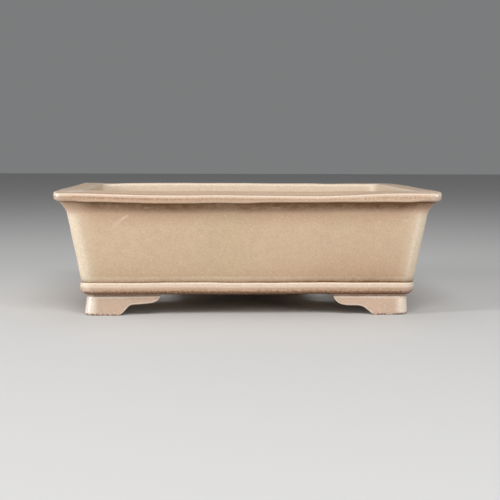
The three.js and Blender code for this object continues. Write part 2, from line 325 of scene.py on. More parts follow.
def fume_and_shade_mask(points):
    """Brown kiln fume, partly painted shade: under the lip, on the lip and round the base band.
    """
    x, y, z = points.T
    out_x, out_y = abs(x) - HALF_X, abs(y) - HALF_Y
    out = outward(x, y)
    outside = out > wall_out(z) - SKIN
    front = facing(x, y, -1)
    mid_side = smooth(8, 34, abs(out_x - out_y))
    under = cove_fume_and_shade(x, z, front, mid_side) * (out < -1.5)
    blush = FUME_AND_SHADE["blush"] * front * hump(x, 110, 60) * hump(z, 40, 22) * (z > BAND_TOP)
    fume_and_shade_level = (under + lip_face_fume(x, z, out) + band_fume_and_shade(z) + blush) * outside
    return np.clip(fume_and_shade_level + front * lip_top_line(x, z, out), 0, 1)


def grime_and_shade_mask(points):
    """Gritty dirt on the lip's face and under the band, painted shade in the feet's necks and a
    painted contact shadow at their soles.
    """
    x, y, z = points.T
    out = outward(x, y)
    outside = out > wall_out(z) - SKIN
    band = smooth(BAND_CREST_TOP - 0.5, FLOOR_UNDER + 1, z) * (z > FLOOR_UNDER - ON_PLANE)
    lip = 0.4 * smooth(LIP_UNDERSIDE, LIP_UNDERSIDE + 5, z) * (z < TOP - 3)
    # painted shade in the recessed neck under the band, lighter on its bead
    in_neck = (z > FOOT_LEDGE - 0.1) & (z < FLOOR_UNDER + 0.1) & (out > FOOT_OUT - 6)
    on_bead = abs(z - NECK_BEAD) < 0.35
    neck = (0.35 - 0.25 * on_bead) * in_neck
    # painted contact shadow: darker towards the soles
    sole = smooth(2.8, 1.2, z)
    return np.clip((band + lip) * outside + neck + sole, 0, 1)


def inside_mask(points):
    """1 on the inner faces and the floor's top."""
    x, y, z = points.T
    return ((outward(x, y) < -LIP_WIDTH + 1.5) & (z > FLOOR_TOP - 4)).astype(float)


# ---- Meshes ----

SHARP_ANGLE = math.radians(38)  # edges that bend more than this are shaded as sharp


def make_piece(name, points, faces, edge, node, slot):
    """A closed mesh from points in millimetres, which stands for one node of the model."""
    mesh = bpy.data.meshes.new(name)
    mesh.from_pydata((settle(points) * MM).tolist(), [], faces)
    mesh.update()
    masks = {
        "edge": edge,
        "fume_and_shade": fume_and_shade_mask(points),
        "grime_and_shade": grime_and_shade_mask(points),
        "inside": inside_mask(points),
        "scuff": scuff_mask(points),
    }
    for key, values in masks.items():
        layer = mesh.attributes.new(key, "FLOAT", "POINT")
        layer.data.foreach_set("value", np.asarray(values, np.float32))
    mesh.shade_smooth()
    mesh.set_sharp_from_angle(angle=SHARP_ANGLE)
    piece = bpy.data.objects.new(name, mesh)
    bpy.context.scene.collection.objects.link(piece)
    mesh.materials.append(MATERIALS[slot])
    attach(piece, "root")
    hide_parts(node)


def arc(out, z, reach_out, reach_up, start, end, radius, steps, edge=0.0):
    """Rows of a section round a quarter or so of an ellipse: out, z, plan radius, edge."""
    angles = np.radians(np.linspace(start, end, steps + 1))
    return [
        (out + reach_out * math.cos(a), z + reach_up * math.sin(a), radius, edge) for a in angles
    ]


def spaced(first, last, count):
    """Points that part the way between two others into a count of steps, without the two."""
    return [
        tuple(a + (b - a) * i / count for a, b in zip(first, last)) for i in range(1, count)
    ]


def line(first, last, step):
    """Points about a step apart between two others, without the two."""
    length = math.hypot(last[0] - first[0], last[1] - first[1])
    return spaced(first, last, max(1, round(length / step)))


def grid_faces(stations, rows):
    """Quads of a tube of stations, each a closed ring of rows, with a cap at both ends."""
    faces = []
    for s in range(stations - 1):
        for k in range(rows):
            a = s * rows + k
            b = s * rows + (k + 1) % rows
            faces.append((a, a + rows, b + rows, b))
    faces.append(tuple(range(rows)))
    faces.append(tuple(range(stations * rows - 1, (stations - 1) * rows - 1, -1)))
    return faces


def turned(points, turn):
    """The points after a number of quarter turns about Z."""
    c, s = ((1, 0), (0, 1), (-1, 0), (0, -1))[turn]
    x, y, z = points.T
    return np.column_stack((c * x - s * y, s * x + c * y, z))


SIDES = ("front", "right", "back", "left")  # each a quarter turn further than the one before
CORNERS = ("front_left", "front_right", "back_right", "back_left")
CORNER_STEPS = 10
CORNER_WEAR_AND_HIGHLIGHT = 0.66  # how far the corners are painted pale: rubbed wear and a painted highlight
CORNER_REACH = 26  # how far from a corner its rounder section starts
CORNER_FADE = 5  # how far the wear and painted highlight of a corner reach along the sides
WEAR_START = 4  # how far under the lip the wear and painted highlight of the walls' corners start
WEAR_FULL = 18  # and how far under it they are full
HIDDEN_STEP = 4  # spacing of a section's rows on faces that meet another piece


def strip_points(section, corner_section, half_along, half_across, step):
    """A section swept along the front, from mid corner to mid corner, and its corners' wear and
    painted highlight.
    """
    plain = np.array(section, float)
    change = np.array(corner_section, float) - plain
    quarter = math.pi / 4
    count = max(2, round(2 * half_along / step))
    stations = [(-1, angle) for angle in np.linspace(quarter, 0, CORNER_STEPS + 1)]
    stations += [(2 * i / count - 1, 0.0) for i in range(1, count)]
    stations += [(1, angle) for angle in np.linspace(0, quarter, CORNER_STEPS + 1)]
    rings = []
    for share, angle in stations:
        near_corner = smooth(CORNER_REACH, 0, (1 - abs(share)) * half_along)
        out, z, radius, _ = (plain + change * near_corner).T
        along = share * (half_along + out - radius) + np.sign(share) * radius * math.sin(angle)
        across = half_across + out - radius + radius * math.cos(angle)
        rings.append(np.column_stack((along, -across, z)))
    wear = [math.exp(-(1 - abs(share)) * half_along / CORNER_FADE) for share, _ in stations]
    return np.concatenate(rings), CORNER_WEAR_AND_HIGHLIGHT * np.repeat(wear, len(section))


def four_sides(name, section, slot, step, front_step=None, corner_section=None):
    """Four mitred strips with one section, as the pieces of four nodes."""
    wear_and_highlight = (LIP_UNDERSIDE - WEAR_START, LIP_UNDERSIDE - WEAR_FULL)
    for turn, side in enumerate(SIDES):
        halves = (HALF_X, HALF_Y) if turn % 2 == 0 else (HALF_Y, HALF_X)
        spacing = front_step if front_step and side == "front" else step
        points, wear = strip_points(section, corner_section or section, *halves, spacing)
        z = points[:, 2]
        wear *= np.where(z < LIP_UNDERSIDE, smooth(*wear_and_highlight, z), 1)
        stations = len(points) // len(section)
        edge = np.maximum(np.tile([row[3] for row in section], stations), wear)
        faces = grid_faces(stations, len(section))
        node = f"{name}_{side}"
        make_piece(f"{node}_clay", turned(points, turn), faces, edge, node, slot)


# ---- Materials ----


def linear(red, green, blue):
    """An sRGB colour of 0 to 255 as linear light."""
    levels = [v / 255 for v in (red, green, blue)]
    return tuple(v / 12.92 if v <= 0.04045 else ((v + 0.055) / 1.055) ** 2.4 for v in levels)


class Shader:
    """A short way to write a node tree."""

    def __init__(self, name):
        self.material = bpy.data.materials.new(name)
        self.material.use_nodes = True
        self.tree = self.material.node_tree
        self.tree.nodes.clear()

    def add(self, kind, inputs=None, **settings):
        node = self.tree.nodes.new(kind)
        for key, value in settings.items():
            setattr(node, key, value)
        for key, value in (inputs or {}).items():
            if isinstance(value, bpy.types.NodeSocket):
                self.tree.links.new(value, node.inputs[key])
            else:
                node.inputs[key].default_value = value
        return node

    def noise(self, place, scale, detail, roughness):
        settings = {"Vector": place, "Scale": scale, "Detail": detail, "Roughness": roughness}
        return self.add("ShaderNodeTexNoise", settings).outputs["Fac"]

    def stretched(self, place, scale):
        return self.add("ShaderNodeMapping", {"Vector": place, "Scale": scale}).outputs["Vector"]

    def remap(self, value, low, high, to_low=0.0, to_high=1.0):
        settings = {
            "Value": value,
            "From Min": low,
            "From Max": high,
            "To Min": to_low,
            "To Max": to_high,
        }
        node = self.add("ShaderNodeMapRange", settings, interpolation_type="SMOOTHSTEP")
        return node.outputs["Result"]

    def math(self, operation, a, b):
        node = self.add("ShaderNodeMath", {0: a, 1: b}, operation=operation)
        return node.outputs["Value"]

    def mix(self, fac, a, b, blend="MIX"):
        """A mix of two colours: sockets 0, 6 and 7 are the share, a and b, and 2 the result."""
        node = self.add("ShaderNodeMix", data_type="RGBA", blend_type=blend)
        for index, value in ((0, fac), (6, a), (7, b)):
            if isinstance(value, bpy.types.NodeSocket):
                self.tree.links.new(value, node.inputs[index])
            elif index == 0:
                node.inputs[index].default_value = value
            else:
                node.inputs[index].default_value = (*value, 1)
        return node.outputs[2]

    def mask(self, name):
        return self.add("ShaderNodeAttribute", attribute_name=name).outputs["Fac"]

    def grey(self, level):
        inputs = {0: level, 1: level, 2: level}
        return self.add("ShaderNodeCombineColor", inputs).outputs["Color"]

    def dots(self, place, scale, size, patch_scale, patch_from, strength):
        """Round specks of one size, in patches."""
        cells = self.add("ShaderNodeTexVoronoi", {"Vector": place, "Scale": scale})
        speck = self.remap(cells.outputs["Distance"], size * 0.5, size, 1, 0)
        patch = self.remap(self.noise(place, patch_scale, 2, 0.5), patch_from, patch_from + 0.08)
        return self.math("MULTIPLY", self.math("MULTIPLY", speck, patch), strength)

    def finish(self, shader):
        output = self.add("ShaderNodeOutputMaterial")
        self.tree.links.new(shader.outputs["BSDF"], output.inputs["Surface"])


# Colours as sRGB levels.
CLOUD = (198, 168, 144)
PATCH = (180, 150, 128)
INSIDE = (206, 189, 164)
# fume colours, also used for the painted shade under the lip and round the band
THIN_FUME_AND_SHADE = (134, 84, 46)
THICK_FUME_AND_SHADE = (102, 66, 20)
# dirt colour, also used for the painted shade in the feet's necks and the painted contact shadow
# at their soles
DIRT_AND_SHADE = (112, 68, 34)
SCUFF = (238, 222, 204)
DARK_SPECK = (120, 84, 52)
PALE_SPECK = (244, 228, 204)


def clay_colour(s, place, clay, wear_and_highlight):
    """Fired, unglazed clay: faint clouds, fine grain, specks, brown fume with painted shade,
    dirt with painted shade, and rubbed edges with painted highlight.
    """
    clouds = s.noise(place, 11, 2, 0.5)
    patches = s.noise(place, 42, 3, 0.55)
    mottle = s.noise(place, 130, 4, 0.65)
    grain = s.noise(place, 900, 2, 0.6)
    grit = s.noise(place, 520, 2, 0.6)
    base = s.mix(s.remap(clouds, 0.38, 0.64, 0, 0.4), linear(*clay), linear(*CLOUD))
    base = s.mix(s.remap(patches, 0.45, 0.65, 0, 0.14), base, linear(*PATCH))
    base = s.mix(1.0, base, s.grey(s.remap(mottle, 0.28, 0.72, 0.97, 1.035)), "MULTIPLY")
    base = s.mix(s.math("MULTIPLY", s.mask("inside"), 0.6), base, linear(*INSIDE))
    # edge: rubbed wear, partly a painted highlight on corners and arrises that face the lamps
    rubbed_and_lit = s.math("MULTIPLY", s.mask("edge"), s.remap(grit, 0.3, 0.6, 0.58, 0.78))
    base = s.mix(rubbed_and_lit, base, linear(*wear_and_highlight))
    fume_and_shade = s.mask("fume_and_shade")
    # the fume mask also carries painted shade and a painted shadow line
    fume_and_shade_level = s.math("MULTIPLY", fume_and_shade, s.remap(mottle, 0.3, 0.7, 0.88, 1.12))
    fume_and_shade_level = s.math("MULTIPLY", fume_and_shade_level, s.remap(clouds, 0.35, 0.65, 0.9, 1.1))
    fume_and_shade_level = s.math("MULTIPLY", fume_and_shade_level, s.remap(grit, 0.35, 0.65, 0.95, 1.05))
    fume_and_shade_colour = s.mix(s.remap(fume_and_shade, 0.1, 0.8), linear(*THIN_FUME_AND_SHADE), linear(*THICK_FUME_AND_SHADE))
    base = s.mix(fume_and_shade_level, base, fume_and_shade_colour)
    # the dirt mask also carries painted shade in the necks and a painted contact shadow at the
    # soles
    dirt_and_shade = s.math("MULTIPLY", s.remap(grit, 0.4, 0.6, 0.1, 1.0), s.mask("grime_and_shade"))
    base = s.mix(dirt_and_shade, base, linear(*DIRT_AND_SHADE))
    base = s.mix(s.math("MULTIPLY", s.mask("scuff"), 0.5), base, linear(*SCUFF))
    base = s.mix(s.dots(place, 300, 0.16, 150, 0.58, 0.4), base, linear(*DARK_SPECK))
    base = s.mix(s.dots(place, 460, 0.17, 210, 0.52, 0.45), base, linear(*PALE_SPECK))
    return s.mix(1.0, base, s.grey(s.remap(grain, 0.28, 0.72, 0.89, 1.09)), "MULTIPLY")


def clay_bump(s, place):
    """Grain, pits that are deeper where dirt stays, and the faint ridges of a wiping cloth."""
    grain = s.noise(place, 1100, 2, 0.6)
    pits = s.noise(place, 520, 2, 0.6)
    pits = s.math("MULTIPLY", pits, s.remap(s.mask("grime_and_shade"), 0, 1, 0.5, 1.8))
    wiped = s.noise(s.stretched(place, (25, 25, 420)), 1, 2, 0.5)
    bumps = ((grain, 0.5, 0.00008), (pits, 0.5, 0.00028), (wiped, 0.2, 0.0002))
    normal = None
    for height, strength, distance in bumps:
        inputs = {"Height": height, "Strength": strength, "Distance": distance}
        if normal:
            inputs["Normal"] = normal
        normal = s.add("ShaderNodeBump", inputs).outputs["Normal"]
    return normal


def stoneware(name, clay, wear_and_highlight, roughness, gloss):
    """Unglazed clay of one colour, rougher where it is stained, dirty or inside the pot."""
    s = Shader(name)
    place = s.add("ShaderNodeTexCoord").outputs["Object"]
    rough = s.remap(s.noise(place, 120, 4, 0.6), 0.3, 0.7, roughness - 0.05, roughness + 0.06)
    rough = s.math("ADD", rough, s.math("MULTIPLY", s.mask("grime_and_shade"), 0.2))
    rough = s.math("ADD", rough, s.math("MULTIPLY", s.mask("fume_and_shade"), 0.3))
    rough = s.math("ADD", rough, s.math("MULTIPLY", s.mask("inside"), 0.15))
    rough = s.math("SUBTRACT", rough, s.math("MULTIPLY", s.mask("edge"), 0.1))
    inputs = {
        "Base Color": clay_colour(s, place, clay, wear_and_highlight),
        "Roughness": rough,
        "Normal": clay_bump(s, place),
        "Specular IOR Level": gloss,
    }
    shader = s.add("ShaderNodeBsdfPrincipled", inputs)
    s.finish(shader)
    return s.material


# each clay's second colour is its rubbed edges, partly a painted highlight
def body_clay():
    return stoneware("body_clay", (184, 162, 132), (230, 220, 200), 0.44, 0.45)


def trim_clay():
    return stoneware("trim_clay", (192, 165, 137), (214, 201, 188), 0.36, 0.65)


def foot_clay():
    return stoneware("foot_clay", (175, 151, 131), (230, 218, 204), 0.38, 0.7)


MATERIALS = {"body_clay": body_clay(), "trim_clay": trim_clay(), "foot_clay": foot_clay()}

# ---- Lip: rounded bar over a hollow cove ----

LIP_SLANT = -65  # degrees: where the lower rounding passes into the cove, and how steeply
LIP_BULGE = 6  # degrees: the outer face is convex, so its roundings stop short of upright
LIP_LOW_INSET = 0.3  # how far the lower rounding stays inside the model's outer face
LIP_HIGH_INSET = 0.45  # how far the upper one does
COVE_FOOT_PULL = 5.5  # how far the cove holds the wall's lean at its foot
COVE_HEAD_PULL = 2  # how far it holds the slant at its head
SWELL = 0.45  # of the outer face's height, how far its curve is pulled at both ends
# wear on the lip's roundings; on the outer top arris it is partly a painted highlight line
FACE_WEAR = 0.1
OUTER_WEAR_AND_HIGHLIGHT = 0.6
INNER_WEAR = 0.5
COVE_STEPS = 18
UNDER_STEPS = 9
FACE_STEPS = 7
ROUND_STEPS = 8
TOP_STEPS = 12
BACK_STEPS = 10


def bezier(points, steps):
    return [tuple(p) for p in geometry.interpolate_bezier(*[Vector(p) for p in points], steps)]


def unit(angle):
    return np.array((math.cos(math.radians(angle)), math.sin(math.radians(angle))))


def curve_rows(start, start_pull, end_pull, end, steps, radius, edge=0.0):
    """Rows along a Bezier curve, without its two ends; the pulls lead out of each end."""
    handles = (start, start + start_pull, end + end_pull, end)
    return [(out, z, radius, edge) for out, z in bezier(handles, steps)[1:-1]]


def rounding(centre, size, start, end, radius, steps, edge):
    """Rows round an edge that is rounded to a circle."""
    return arc(*centre, size, size, start, end, radius, steps, edge)


def lip_section(top_arris, under_round):
    """Rows from the foot of the cove up over the bar and down its inner face."""
    under_at = np.array((-LIP_LOW_INSET - under_round, LIP_UNDERSIDE + under_round))
    over_at = np.array((-LIP_HIGH_INSET - top_arris, TOP - top_arris))
    inner_at = np.array((LIP_INNER_ARRIS - LIP_WIDTH, TOP - LIP_INNER_ARRIS))
    foot = np.array((-LIP_OVERHANG, LIP_SEAM))
    head = under_at + under_round * unit(LIP_SLANT)
    low = under_at + under_round * unit(-LIP_BULGE)
    high = over_at + top_arris * unit(LIP_BULGE)
    swell = SWELL * (high[1] - low[1])
    up = swell * unit(90 - LIP_BULGE)
    down = swell * unit(LIP_BULGE - 90)
    along_wall = COVE_FOOT_PULL * np.array((WALL_FLARE, 1.0))
    out_of_lip = COVE_HEAD_PULL * unit(LIP_SLANT - 90)
    back = (-LIP_WIDTH, LIP_SEAM, INNER_CORNER, 0.0)
    rows = [(*foot, WALL_CORNER, 0.0)]
    rows += curve_rows(foot, along_wall, out_of_lip, head, COVE_STEPS, WALL_CORNER)
    rows += rounding(
        under_at, under_round, LIP_SLANT, -LIP_BULGE, LIP_CORNER, UNDER_STEPS, FACE_WEAR
    )
    rows += curve_rows(low, up, down, high, FACE_STEPS, LIP_CORNER, FACE_WEAR)
    rows += rounding(over_at, top_arris, LIP_BULGE, 90, LIP_CORNER, ROUND_STEPS, OUTER_WEAR_AND_HIGHLIGHT)
    inner = rounding(
        inner_at, LIP_INNER_ARRIS, 90, 180, INNER_CORNER, ROUND_STEPS, INNER_WEAR
    )
    top_start = (rows[-1][0], TOP, LIP_CORNER, 0.0)
    top_end = (inner[0][0], TOP, INNER_CORNER, 0.0)
    rows += spaced(top_start, top_end, TOP_STEPS)
    rows += inner
    rows += spaced(inner[-1], back, BACK_STEPS) + [back]
    rows += line(back, rows[0], HIDDEN_STEP)
    return rows


lip_plain = lip_section(LIP_TOP_ARRIS, LIP_UNDER_ROUND)
lip_corner = lip_section(LIP_TOP_ARRIS, LIP_CORNER_UNDER_ROUND)
four_sides("lip", lip_plain, "trim_clay", 2.2, corner_section=lip_corner)

# ---- Walls ----

OUTER_STEP = 1.6  # spacing of the rows on the outer face
INNER_STEP = 2.6  # and on the inner face


def wall_section():
    """Rows up the outer face, over the seam under the lip and down the inner face."""
    bottom = (wall_out(FLOOR_TOP), FLOOR_TOP, WALL_CORNER, 0.0)
    top = (wall_out(LIP_SEAM), LIP_SEAM, WALL_CORNER, 0.0)
    inner_top = (inner_out(LIP_SEAM), LIP_SEAM, WALL_INNER_CORNER, 0.0)
    inner_bottom = (inner_out(FLOOR_TOP), FLOOR_TOP, WALL_INNER_CORNER, 0.0)
    rows = [bottom] + line(bottom, top, OUTER_STEP) + [top]
    rows += line(top, inner_top, HIDDEN_STEP) + [inner_top]
    rows += line(inner_top, inner_bottom, INNER_STEP) + [inner_bottom]
    rows += line(inner_bottom, bottom, HIDDEN_STEP)
    return rows


four_sides("wall", wall_section(), "body_clay", 2.6, 1.3)

# ---- Base band: wraps the edge of the floor slab and the foot of the walls ----

# the band's upper arc is painted pale: wear and a painted highlight where it faces the lamps
BAND_EDGE_WEAR_AND_HIGHLIGHT = 0.55
BAND_SLOPE_STEPS = 15
BAND_EDGE_STEPS = 10
BAND_STEP = 1.2  # spacing of the rows on the crest
BAND_LOW_PULL = (1.5, 1.2)  # how the curve up to the crest leaves the slab's lower edge
BAND_HIGH_PULL = 1.6  # how far below the crest it comes up straight


def band_section():
    """Rows from the slab's lower edge out to the crest, up to the wall and back inside."""
    start = FLOOR_OUT + 0.3
    slope = (
        (start, FLOOR_UNDER),
        (start + BAND_LOW_PULL[0], FLOOR_UNDER + BAND_LOW_PULL[1]),
        (BAND_OUT, BAND_CREST_FOOT - BAND_HIGH_PULL),
        (BAND_OUT, BAND_CREST_FOOT),
    )
    radii = np.linspace(FLOOR_CORNER, BAND_CORNER, BAND_SLOPE_STEPS)
    lower = bezier(slope, BAND_SLOPE_STEPS)
    lower = [(out, z, radius, 0.0) for (out, z), radius in zip(lower, radii)]
    head = wall_out(BAND_TOP)
    reach = (BAND_OUT - head, BAND_TOP - BAND_CREST_TOP)
    steps = BAND_EDGE_STEPS
    upper = arc(head, BAND_CREST_TOP, *reach, 0, 90, BAND_CORNER, steps, BAND_EDGE_WEAR_AND_HIGHLIGHT)
    radii = np.linspace(BAND_CORNER, WALL_CORNER, len(upper))
    upper = [(out, z, radius, edge) for (out, z, _, edge), radius in zip(upper, radii)]
    rows = [(FLOOR_OUT, FLOOR_UNDER, FLOOR_CORNER, 0.0)]
    rows += lower + line(lower[-1], upper[0], BAND_STEP) + upper
    rows += [
        (wall_out(BAND_TOP - 2) - 0.4, BAND_TOP - 2, WALL_CORNER, 0.0),
        (wall_out(FLOOR_TOP), FLOOR_TOP, WALL_CORNER, 0.0),
        (FLOOR_OUT, FLOOR_TOP, FLOOR_CORNER, 0.0),
    ]
    return rows


four_sides("base_band", band_section(), "trim_clay", 2.0)

# ---- Coils smoothed into the inside seams ----

COIL_SINK = 0.5  # how far the back of a coil lies inside its neighbours
COIL_TURNS = 17  # points round a corner coil's hollow
COIL_HEIGHTS = 30


def floor_coil_section():
    """Rows of a coil with a hollow face, between the floor and a wall."""
    size = FLOOR_COIL_TOP - FLOOR_TOP
    out = inner_out(FLOOR_TOP) - 0.2
    top = inner_out(FLOOR_TOP + size) + COIL_SINK
    back = inner_out(FLOOR_TOP) + COIL_SINK
    rows = [(back, FLOOR_TOP - COIL_SINK, WALL_INNER_CORNER, 0.0)]
    rows.append((top, FLOOR_TOP + size, WALL_INNER_CORNER, 0.0))
    rows += arc(out - size, FLOOR_TOP + size, size, size, 0, -90, INNER_CORNER, 12)
    rows.append((out - size, FLOOR_TOP - COIL_SINK, INNER_CORNER, 0.0))
    return rows


four_sides("floor_coil", floor_coil_section(), "body_clay", 2.6)


def corner_coils():
    """A concave fillet up each inside corner, leaning out with the walls."""
    angles = np.radians(np.linspace(270, 180, COIL_TURNS))
    bow = [(INNER_CORNER * (1 + math.cos(a)), INNER_CORNER * (1 + math.sin(a))) for a in angles]
    back = [(-COIL_SINK, INNER_CORNER), (-COIL_SINK, -COIL_SINK)]
    outline = [(INNER_CORNER, -COIL_SINK)] + bow + back
    heights = np.linspace(FLOOR_TOP + 1, LIP_SEAM, COIL_HEIGHTS)
    x = HALF_X + inner_out(FLOOR_TOP)
    y = HALF_Y + inner_out(FLOOR_TOP)
    for turn, corner in enumerate(CORNERS):
        px, py = (x, y) if turn % 2 == 0 else (y, x)
        points = []
        for z in heights:
            lean = INNER_FLARE * (z - FLOOR_TOP)
            points += [(u - px - lean, v - py - lean, z) for u, v in outline]
        points = turned(np.array(points), turn)
        faces = grid_faces(len(heights), len(outline))
        node = f"corner_coil_{corner}"
        make_piece(f"{node}_clay", points, faces, np.zeros(len(points)), node, "body_clay")


corner_coils()

# ---- Floor slab with softened drain and wire holes ----

FLOOR_GRID = 5  # spacing of the points on the slab's faces
GRID_INSET = 0.6 * FLOOR_GRID  # how far the outermost of them lie inside the slab's edge
GRID_CORNER = 4  # the grid's corners are left out over this distance
OUTLINE_STEPS = 7  # points round each corner of the slab
HOLE_ROOM = 2  # how far the grid stays off a hole's edge
HOLE_WEAR = 0.3


def circle(x, y, radius, sides):
    angles = np.linspace(0, 2 * math.pi, sides, endpoint=False)
    return [(x + radius * math.cos(a), y + radius * math.sin(a)) for a in angles]


def hole_circles():
    """Each hole's centre, its radius, the size of its softened edge and its sides."""
    holes = [(side * DRAIN_X, 0, DRAIN_RADIUS, 1.5, 64) for side in (-1, 1)]
    for side in (-1, 1):
        holes += [(x, side * WIRE_Y, WIRE_RADIUS, 0.7, 24) for x in (-WIRE_X, 0, WIRE_X)]
    return holes


def floor_outline():
    """A closed loop round the slab, with rounded corners."""
    half_x = HALF_X + FLOOR_OUT
    half_y = HALF_Y + FLOOR_OUT
    points = []
    for start, sx, sy in ((0, 1, 1), (90, -1, 1), (180, -1, -1), (270, 1, -1)):
        cx = sx * (half_x - FLOOR_CORNER)
        cy = sy * (half_y - FLOOR_CORNER)
        for a in np.radians(np.linspace(start, start + 90, OUTLINE_STEPS)):
            points.append((cx + FLOOR_CORNER * math.cos(a), cy + FLOOR_CORNER * math.sin(a)))
    loop = []
    for a, b in zip(points, points[1:] + points[:1]):
        loop.append(a)
        loop += line(a, b, FLOOR_GRID)
    return loop


def clear_of(holes, x, y, room):
    """Whether a point lies more than some room off the softened edge of every hole."""
    return all(math.hypot(x - hx, y - hy) > r + e + room for hx, hy, r, e, _ in holes)


def floor_grid(holes):
    """Points all over the slab, off its edge, its corners and its holes."""
    half_x = HALF_X + FLOOR_OUT - GRID_INSET
    half_y = HALF_Y + FLOOR_OUT - GRID_INSET
    step_x = 2 * half_x / round(2 * half_x / FLOOR_GRID)
    step_y = 2 * half_y / round(2 * half_y / FLOOR_GRID)
    points = []
    for x in np.arange(-half_x, half_x + 0.01, step_x):
        for y in np.arange(-half_y, half_y + 0.01, step_y):
            in_corner = abs(x) > half_x - GRID_CORNER and abs(y) > half_y - GRID_CORNER
            if clear_of(holes, x, y, HOLE_ROOM) and not in_corner:
                points.append((x, y))
    return points


def floor_triangles(flat, loops, holes):
    """Triangles between the points, with the loops as edges and the holes left open."""
    fixed = []
    start = 0
    for loop in loops:
        fixed += [(start + i, start + (i + 1) % len(loop)) for i in range(len(loop))]
        start += len(loop)
    made = geometry.delaunay_2d_cdt([Vector(p) for p in flat], fixed, [], 0, 1e-5)
    triangles = []
    for face in made[2]:
        middle = np.mean([flat[i] for i in face], axis=0)
        if clear_of(holes, *middle, -0.02):
            triangles.append(tuple(face))
    return triangles


def hole_rows(radius, arris):
    """Radius and height of the rows down a hole, round its upper and its lower edge."""
    rows = []
    for level, way, angles in ((FLOOR_TOP, -1, (30, 60, 90)), (FLOOR_UNDER, 1, (90, 60, 30))):
        for a in np.radians(angles):
            z = level + way * arris * (1 - math.cos(a))
            rows.append((radius + arris * (1 - math.sin(a)), z))
    return rows


def ring_faces(ring, other):
    """Quads between two rings with as many points."""
    after = ring[1:] + ring[:1]
    other_after = other[1:] + other[:1]
    return list(zip(ring, after, other_after, other))


def floor_slab():
    holes = hole_circles()
    loops = [floor_outline()]
    loops += [circle(x, y, radius + arris, sides) for x, y, radius, arris, sides in holes]
    flat = [p for loop in loops for p in loop] + floor_grid(holes)
    triangles = floor_triangles(flat, loops, holes)
    count = len(flat)
    points = [(x, y, FLOOR_TOP) for x, y in flat] + [(x, y, FLOOR_UNDER) for x, y in flat]
    faces = triangles + [tuple(count + i for i in reversed(t)) for t in triangles]
    rim = len(loops[0])
    for i in range(rim):
        j = (i + 1) % rim
        faces.append((i, count + i, count + j, j))
    edge = [0.0] * len(points)
    start = rim
    for x, y, radius, arris, sides in holes:
        ring = list(range(start, start + sides))
        below = [count + i for i in ring]
        for r, z in hole_rows(radius, arris):
            new = list(range(len(points), len(points) + sides))
            points += [(px, py, z) for px, py in circle(x, y, r, sides)]
            edge += [HOLE_WEAR] * sides
            faces += ring_faces(ring, new)
            ring = new
        faces += ring_faces(ring, below)
        start += sides
    name = "floor_slab_clay"
    make_piece(name, np.array(points), faces, np.array(edge), "floor_slab", "body_clay")


floor_slab()

# ---- Feet: two bracket plates each, mitred at the corner ----

FOOT_ARRIS = 1.2
FOOT_CORNER_WEAR = 2.0  # extra rounding of the sole's edge at the corner of the pot
FOOT_EDGE_WEAR_AND_HIGHLIGHT = 0.8  # how far that corner is painted pale: rubbed wear and a painted highlight
FOOT_RUN = 14  # where the straight run of a plate starts, measured from the corner
ARRIS_SHARE = 0.45  # the most of a plate's height that one rounding may take up
COLUMN_GAP = 0.04  # the least distance between two columns at the foot of the face
SOLE_STEP = 1.5  # spacing of the columns along the sole
CURVE_STEPS = 14  # columns along each curve of the wing
LEAST_RADIUS = 0.4  # of the corner's turn at the back of a plate

# The lower outline of a plate, from the sole's end to the wing's tip, as Bezier curves in
# (distance from the corner, height).
SQUARE_WING = (
    ((34.0, 0), (34.8, 0.3), (36.2, 1.8), (37.2, 2.9)),
    ((37.2, 2.9), (42.4, 8.3), (42.6, 10.0), (47.4, 10.2)),
    ((47.4, 10.2), (52, 10.4), (58, 10.9), (62.4, 11.3)),
    ((62.4, 11.3), (68.2, 11.9), (71.4, 14.2), (72.2, 18.2)),
)
OGEE_WING = (
    ((33.0, 0), (34.2, 0.3), (35.6, 1.6), (36.9, 2.7)),
    ((36.9, 2.7), (42.8, 7.9), (43.8, 9.1), (51.0, 9.3)),
    ((51.0, 9.3), (56.0, 9.4), (61.0, 9.3), (65.0, 10.6)),
    ((65.0, 10.6), (69.2, 12.2), (71.4, 15.0), (72.2, 18.2)),
)


def foot_bottom(wing):
    """Points of the plate's lower outline, past the corner's rounding."""
    start = (FOOT_RUN, 0)
    points = [start] + line(start, wing[0][0], SOLE_STEP)
    for curve in wing:
        points += bezier(curve, CURVE_STEPS)[:-1]
    return points + [wing[-1][-1]]


def foot_rows():
    """Rows round a plate's section, down its face, under it and up its back.

    Each has the part it is on, two numbers that place it on that part, and its edge wear, which
    on the ledge and the arrises is partly a painted highlight.
    """
    rows = [("top", FOOT_NECK, FLOOR_UNDER, 0.0)]
    for a in np.radians(np.linspace(90, -90, 7)):
        rows.append(("top", FOOT_NECK - 1.1 * math.cos(a), NECK_BEAD + 0.4 * math.sin(a), 0.3))
    rows.append(("top", FOOT_NECK, FOOT_LEDGE, 0.0))
    for a in np.radians(np.linspace(90, 0, 6)):
        rows.append(("ledge", FOOT_ARRIS * (1 - math.cos(a)), 1 - math.sin(a), 0.6))
    rows += [("face", 0.0, t, 0.0) for t in np.linspace(0, 1, 11)[1:-1]]
    for a in np.radians(np.linspace(0, 90, 7)):
        rows.append(("arris", 1 - math.cos(a), 1 - math.sin(a), 0.5))
    rows += [("under", t, 0.0, 0.15) for t in np.linspace(0, 1, 6)[1:-1]]
    for a in np.radians(np.linspace(90, 0, 5)):
        rows.append(("back_arris", 1 - math.cos(a), 1 - math.sin(a), 0.3))
    rows += [("back", 0.0, t, 0.0) for t in np.linspace(0, 1, 7)[1:]]
    return rows


